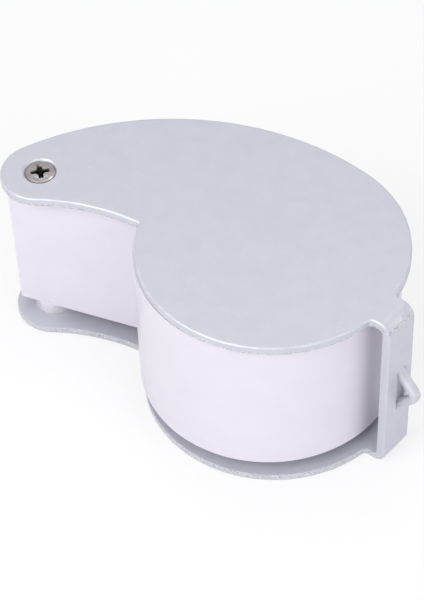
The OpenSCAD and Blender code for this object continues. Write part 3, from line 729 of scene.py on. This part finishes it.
rimLow, screwTop = screw["top"] - screw["rim"], screw["top"]
coneLow, chamferLow = rimLow - (screw["head"] - screw["shank"]), screwTop - screw["chamferHigh"]
screwBlank = combine(tube(pivot, screw["shank"], screw["low"], coneLow + 0.1 * mm), [
    tube(pivot, screw["shank"], coneLow, rimLow, screw["head"]),
    tube(pivot, screw["head"], rimLow, chamferLow),
    tube(pivot, screw["head"], chamferLow, screwTop, screw["head"] - screw["chamferIn"])], "UNION")
crossLow, crossTop = screwTop - screw["crossDeep"], screwTop + 0.1 * mm
screwBlank = combine(screwBlank, [
    punch(pivot, screw["crossLong"], screw["crossWide"], crossLow, crossTop),
    punch(pivot, screw["crossWide"], screw["crossLong"], crossLow, crossTop),
    tube(pivot, screw["pitLow"], crossLow + 0.01 * mm, crossTop, screw["pitHigh"])])
pivotScrew = finishPiece(screwBlank, "pivotScrew", "case", "nickel", "pivot_screw", screw["soften"], 20)
pivotScrew.data.materials[0] = metalLook("screwNickel", screwNickel)
print("pivot screw made")

# Pieces that keep their node's shape, with softened edges
hingeParts = {
    "pivotPost": {"node": "pivot_post", "slot": "nickel", "soften": 0.08 * mm},
    "springWasher": {"node": "spring_washer", "slot": "spring_steel", "soften": 0.05 * mm},
    "nylonWasher": {"node": "nylon_washer", "slot": "nylon", "soften": 0.05 * mm},
}
insideParts = {
    "baseCover": {"node": "base_cover", "slot": "white_plastic", "soften": 0.12 * mm},
    "lensSpacer": {"node": "lens_spacer", "slot": "black_plastic", "soften": 0.1 * mm},
    "lensRetainer": {"node": "lens_retainer", "slot": "black_plastic", "soften": 0.1 * mm},
    "lightBoard": {"node": "light_board", "slot": "board_green", "soften": 0.05 * mm},
    "leftLamp": {"node": "left_lamp", "slot": "lamp_clear", "soften": 0.06 * mm},
    "rightLamp": {"node": "right_lamp", "slot": "lamp_clear", "soften": 0.06 * mm},
    "resistorBody": {"node": "resistor", "slot": "resistor_tan", "soften": 0.15 * mm},
    "topCell": {"node": "top_cell", "slot": "cell_steel", "soften": 0.15 * mm},
    "middleCell": {"node": "middle_cell", "slot": "cell_steel", "soften": 0.15 * mm},
    "bottomCell": {"node": "bottom_cell", "slot": "cell_steel", "soften": 0.15 * mm},
    "positiveContact": {"node": "positive_contact", "slot": "brass", "soften": 0.05 * mm},
    "batteryDoor": {"node": "battery_door", "slot": "white_plastic", "soften": 0.12 * mm},
    "doorScrew": {"node": "door_screw", "slot": "nickel", "soften": 0.05 * mm},
    "coverScrews": {"node": "cover_screws", "slot": "nickel", "soften": 0.05 * mm},
    "switchCan": {"node": "switch_can", "slot": "nickel", "soften": 0.08 * mm},
    "switchPins": {"node": "switch_pins", "slot": "brass", "soften": 0.04 * mm},
}
switchParts = {
    "switchKnob": {"node": "switch_knob", "slot": "black_plastic", "soften": 0.07 * mm},
    "switchWiper": {"node": "switch_wiper", "slot": "brass", "soften": 0.05 * mm},
}
lenses = {
    "upperLens": {"node": "upper_lens", "slot": "lens_clear", "soften": 0.1 * mm},
    "lowerLens": {"node": "lower_lens", "slot": "lens_clear", "soften": 0.1 * mm},
}
for body, parts in (("case", hingeParts), ("lens_body", insideParts), ("switch", switchParts),
                    ("lens_body", lenses)):
    for name, s in parts.items():
        evenShading(softCopy(name, s["node"], body, s["slot"], s["soften"]))
print("hinge, inside, switch and lenses made")

# Bent wire, rounded by subdivision
wires = {
    "negativeSpring": {"node": "negative_spring", "slot": "nickel"},
    "redWire": {"node": "red_wire", "slot": "wire_red"},
    "blackWire": {"node": "black_wire", "slot": "wire_black"},
    "whiteWire": {"node": "white_wire", "slot": "wire_white"},
}
for name, s in wires.items():
    rounder = softCopy(name, s["node"], "lens_body", s["slot"]).modifiers.new("rounder", "SUBSURF")
    rounder.levels = rounder.render_levels = 2
print("spring and wires made")

# Studio: white surroundings for the camera, plain soft light for the object
surroundings = {"light": (0.97, 0.97, 1, 1), "strength": 0.44}
world = bpy.data.worlds.new("studio")
bpy.context.scene.world = world
world.use_nodes = True
sky = world.node_tree
skyLight = sky.nodes["Background"]
skyLight.inputs["Color"].default_value = surroundings["light"]
skyLight.inputs["Strength"].default_value = surroundings["strength"]
skySeen = sky.nodes.new("ShaderNodeBackground")
skySeen.inputs["Color"].default_value = (1, 1, 1, 1)
skySeen.inputs["Strength"].default_value = 1
skyRay = sky.nodes.new("ShaderNodeLightPath")
skyMix = sky.nodes.new("ShaderNodeMixShader")
sky.links.new(skyRay.outputs["Is Camera Ray"], skyMix.inputs["Fac"])
sky.links.new(skyLight.outputs["Background"], skyMix.inputs[1])
sky.links.new(skySeen.outputs["Background"], skyMix.inputs[2])
sky.links.new(skyMix.outputs["Shader"], sky.nodes["World Output"].inputs["Surface"])

floor = {"half": 2.5, "below": 0.03 * mm, "colour": (0.86, 0.86, 0.87, 1), "rough": 0.9, "shine": 0.1,
         "whitened": 0.7}
bm = bmesh.new()
bmesh.ops.create_grid(bm, x_segments=1, y_segments=1, size=floor["half"])
bmesh.ops.translate(bm, verts=bm.verts, vec=(0, 0, -floor["below"]))
floorMesh = bpy.data.meshes.new("studioFloor")
bm.to_mesh(floorMesh)
bm.free()
studioFloor = bpy.data.objects.new("studioFloor", floorMesh)
bpy.context.scene.collection.objects.link(studioFloor)
floorLook = bpy.data.materials.new("floorLook")
floorLook.use_nodes = True
tree = floorLook.node_tree
shader = tree.nodes["Principled BSDF"]
shader.inputs["Base Color"].default_value = floor["colour"]
shader.inputs["Roughness"].default_value = floor["rough"]
shader.inputs["Specular IOR Level"].default_value = floor["shine"]
glow = tree.nodes.new("ShaderNodeEmission")
glow.inputs["Strength"].default_value = 1
floorRay = tree.nodes.new("ShaderNodeLightPath")
floorMix = tree.nodes.new("ShaderNodeMixShader")
tree.links.new(product(tree, floorRay.outputs["Is Camera Ray"], floor["whitened"]), floorMix.inputs["Fac"])
tree.links.new(shader.outputs["BSDF"], floorMix.inputs[1])
tree.links.new(glow.outputs["Emission"], floorMix.inputs[2])
tree.links.new(floorMix.outputs["Shader"], tree.nodes["Material Output"].inputs["Surface"])
floorMesh.materials.append(floorLook)

lights = {
    "key": {"at": (-0.16, -0.34, 0.34), "size": 0.34, "power": 1.4, "tint": (1, 1, 1), "mirrored": True},
    "fill": {"at": (0.42, -0.2, 0.3), "size": 0.4, "power": 1.15, "tint": (0.97, 0.97, 1), "mirrored": False},
    "top": {"at": (-0.05, 0.12, 0.5), "size": 0.5, "power": 0.78, "tint": (1, 1, 1), "mirrored": True},
}
lightsAim = Vector((-8, 0, 12)) * mm
for name, s in lights.items():
    lamp = bpy.data.lights.new(name, "AREA")
    lamp.size = s["size"]
    lamp.energy = s["power"]
    lamp.color = s["tint"]
    holder = bpy.data.objects.new(name, lamp)
    bpy.context.scene.collection.objects.link(holder)
    holder.location = s["at"]
    holder.visible_glossy = s["mirrored"]
    holder.rotation_euler = (lightsAim - Vector(s["at"])).to_track_quat("-Z", "Y").to_euler()

view = {"target": Vector((-8.129, -0.47, 12.5)) * mm, "turn": 26.78, "rise": 47.852, "roll": -2.544,
        "distance": 301.852 * mm, "lens": 133.88}
turn, rise, roll = (math.radians(view[k]) for k in ("turn", "rise", "roll"))
towards = Vector((math.sin(turn) * math.cos(rise), -math.cos(turn) * math.cos(rise), math.sin(rise)))
side = Vector((0, 0, 1)).cross(towards).normalized()
up = towards.cross(side)
camX = side * math.cos(roll) + up * math.sin(roll)
camY = up * math.cos(roll) - side * math.sin(roll)
lensData = bpy.data.cameras.new("mainCamera")
lensData.lens = view["lens"]
lensData.sensor_width = 36
lensData.clip_start = 10 * mm
camera = bpy.data.objects.new("mainCamera", lensData)
bpy.context.scene.collection.objects.link(camera)
place = Matrix((camX, camY, towards)).transposed().to_4x4()
place.translation = view["target"] + towards * view["distance"]
camera.matrix_world = place
bpy.context.scene.camera = camera
bpy.context.scene.view_settings.view_transform = "Standard"
print("studio set")
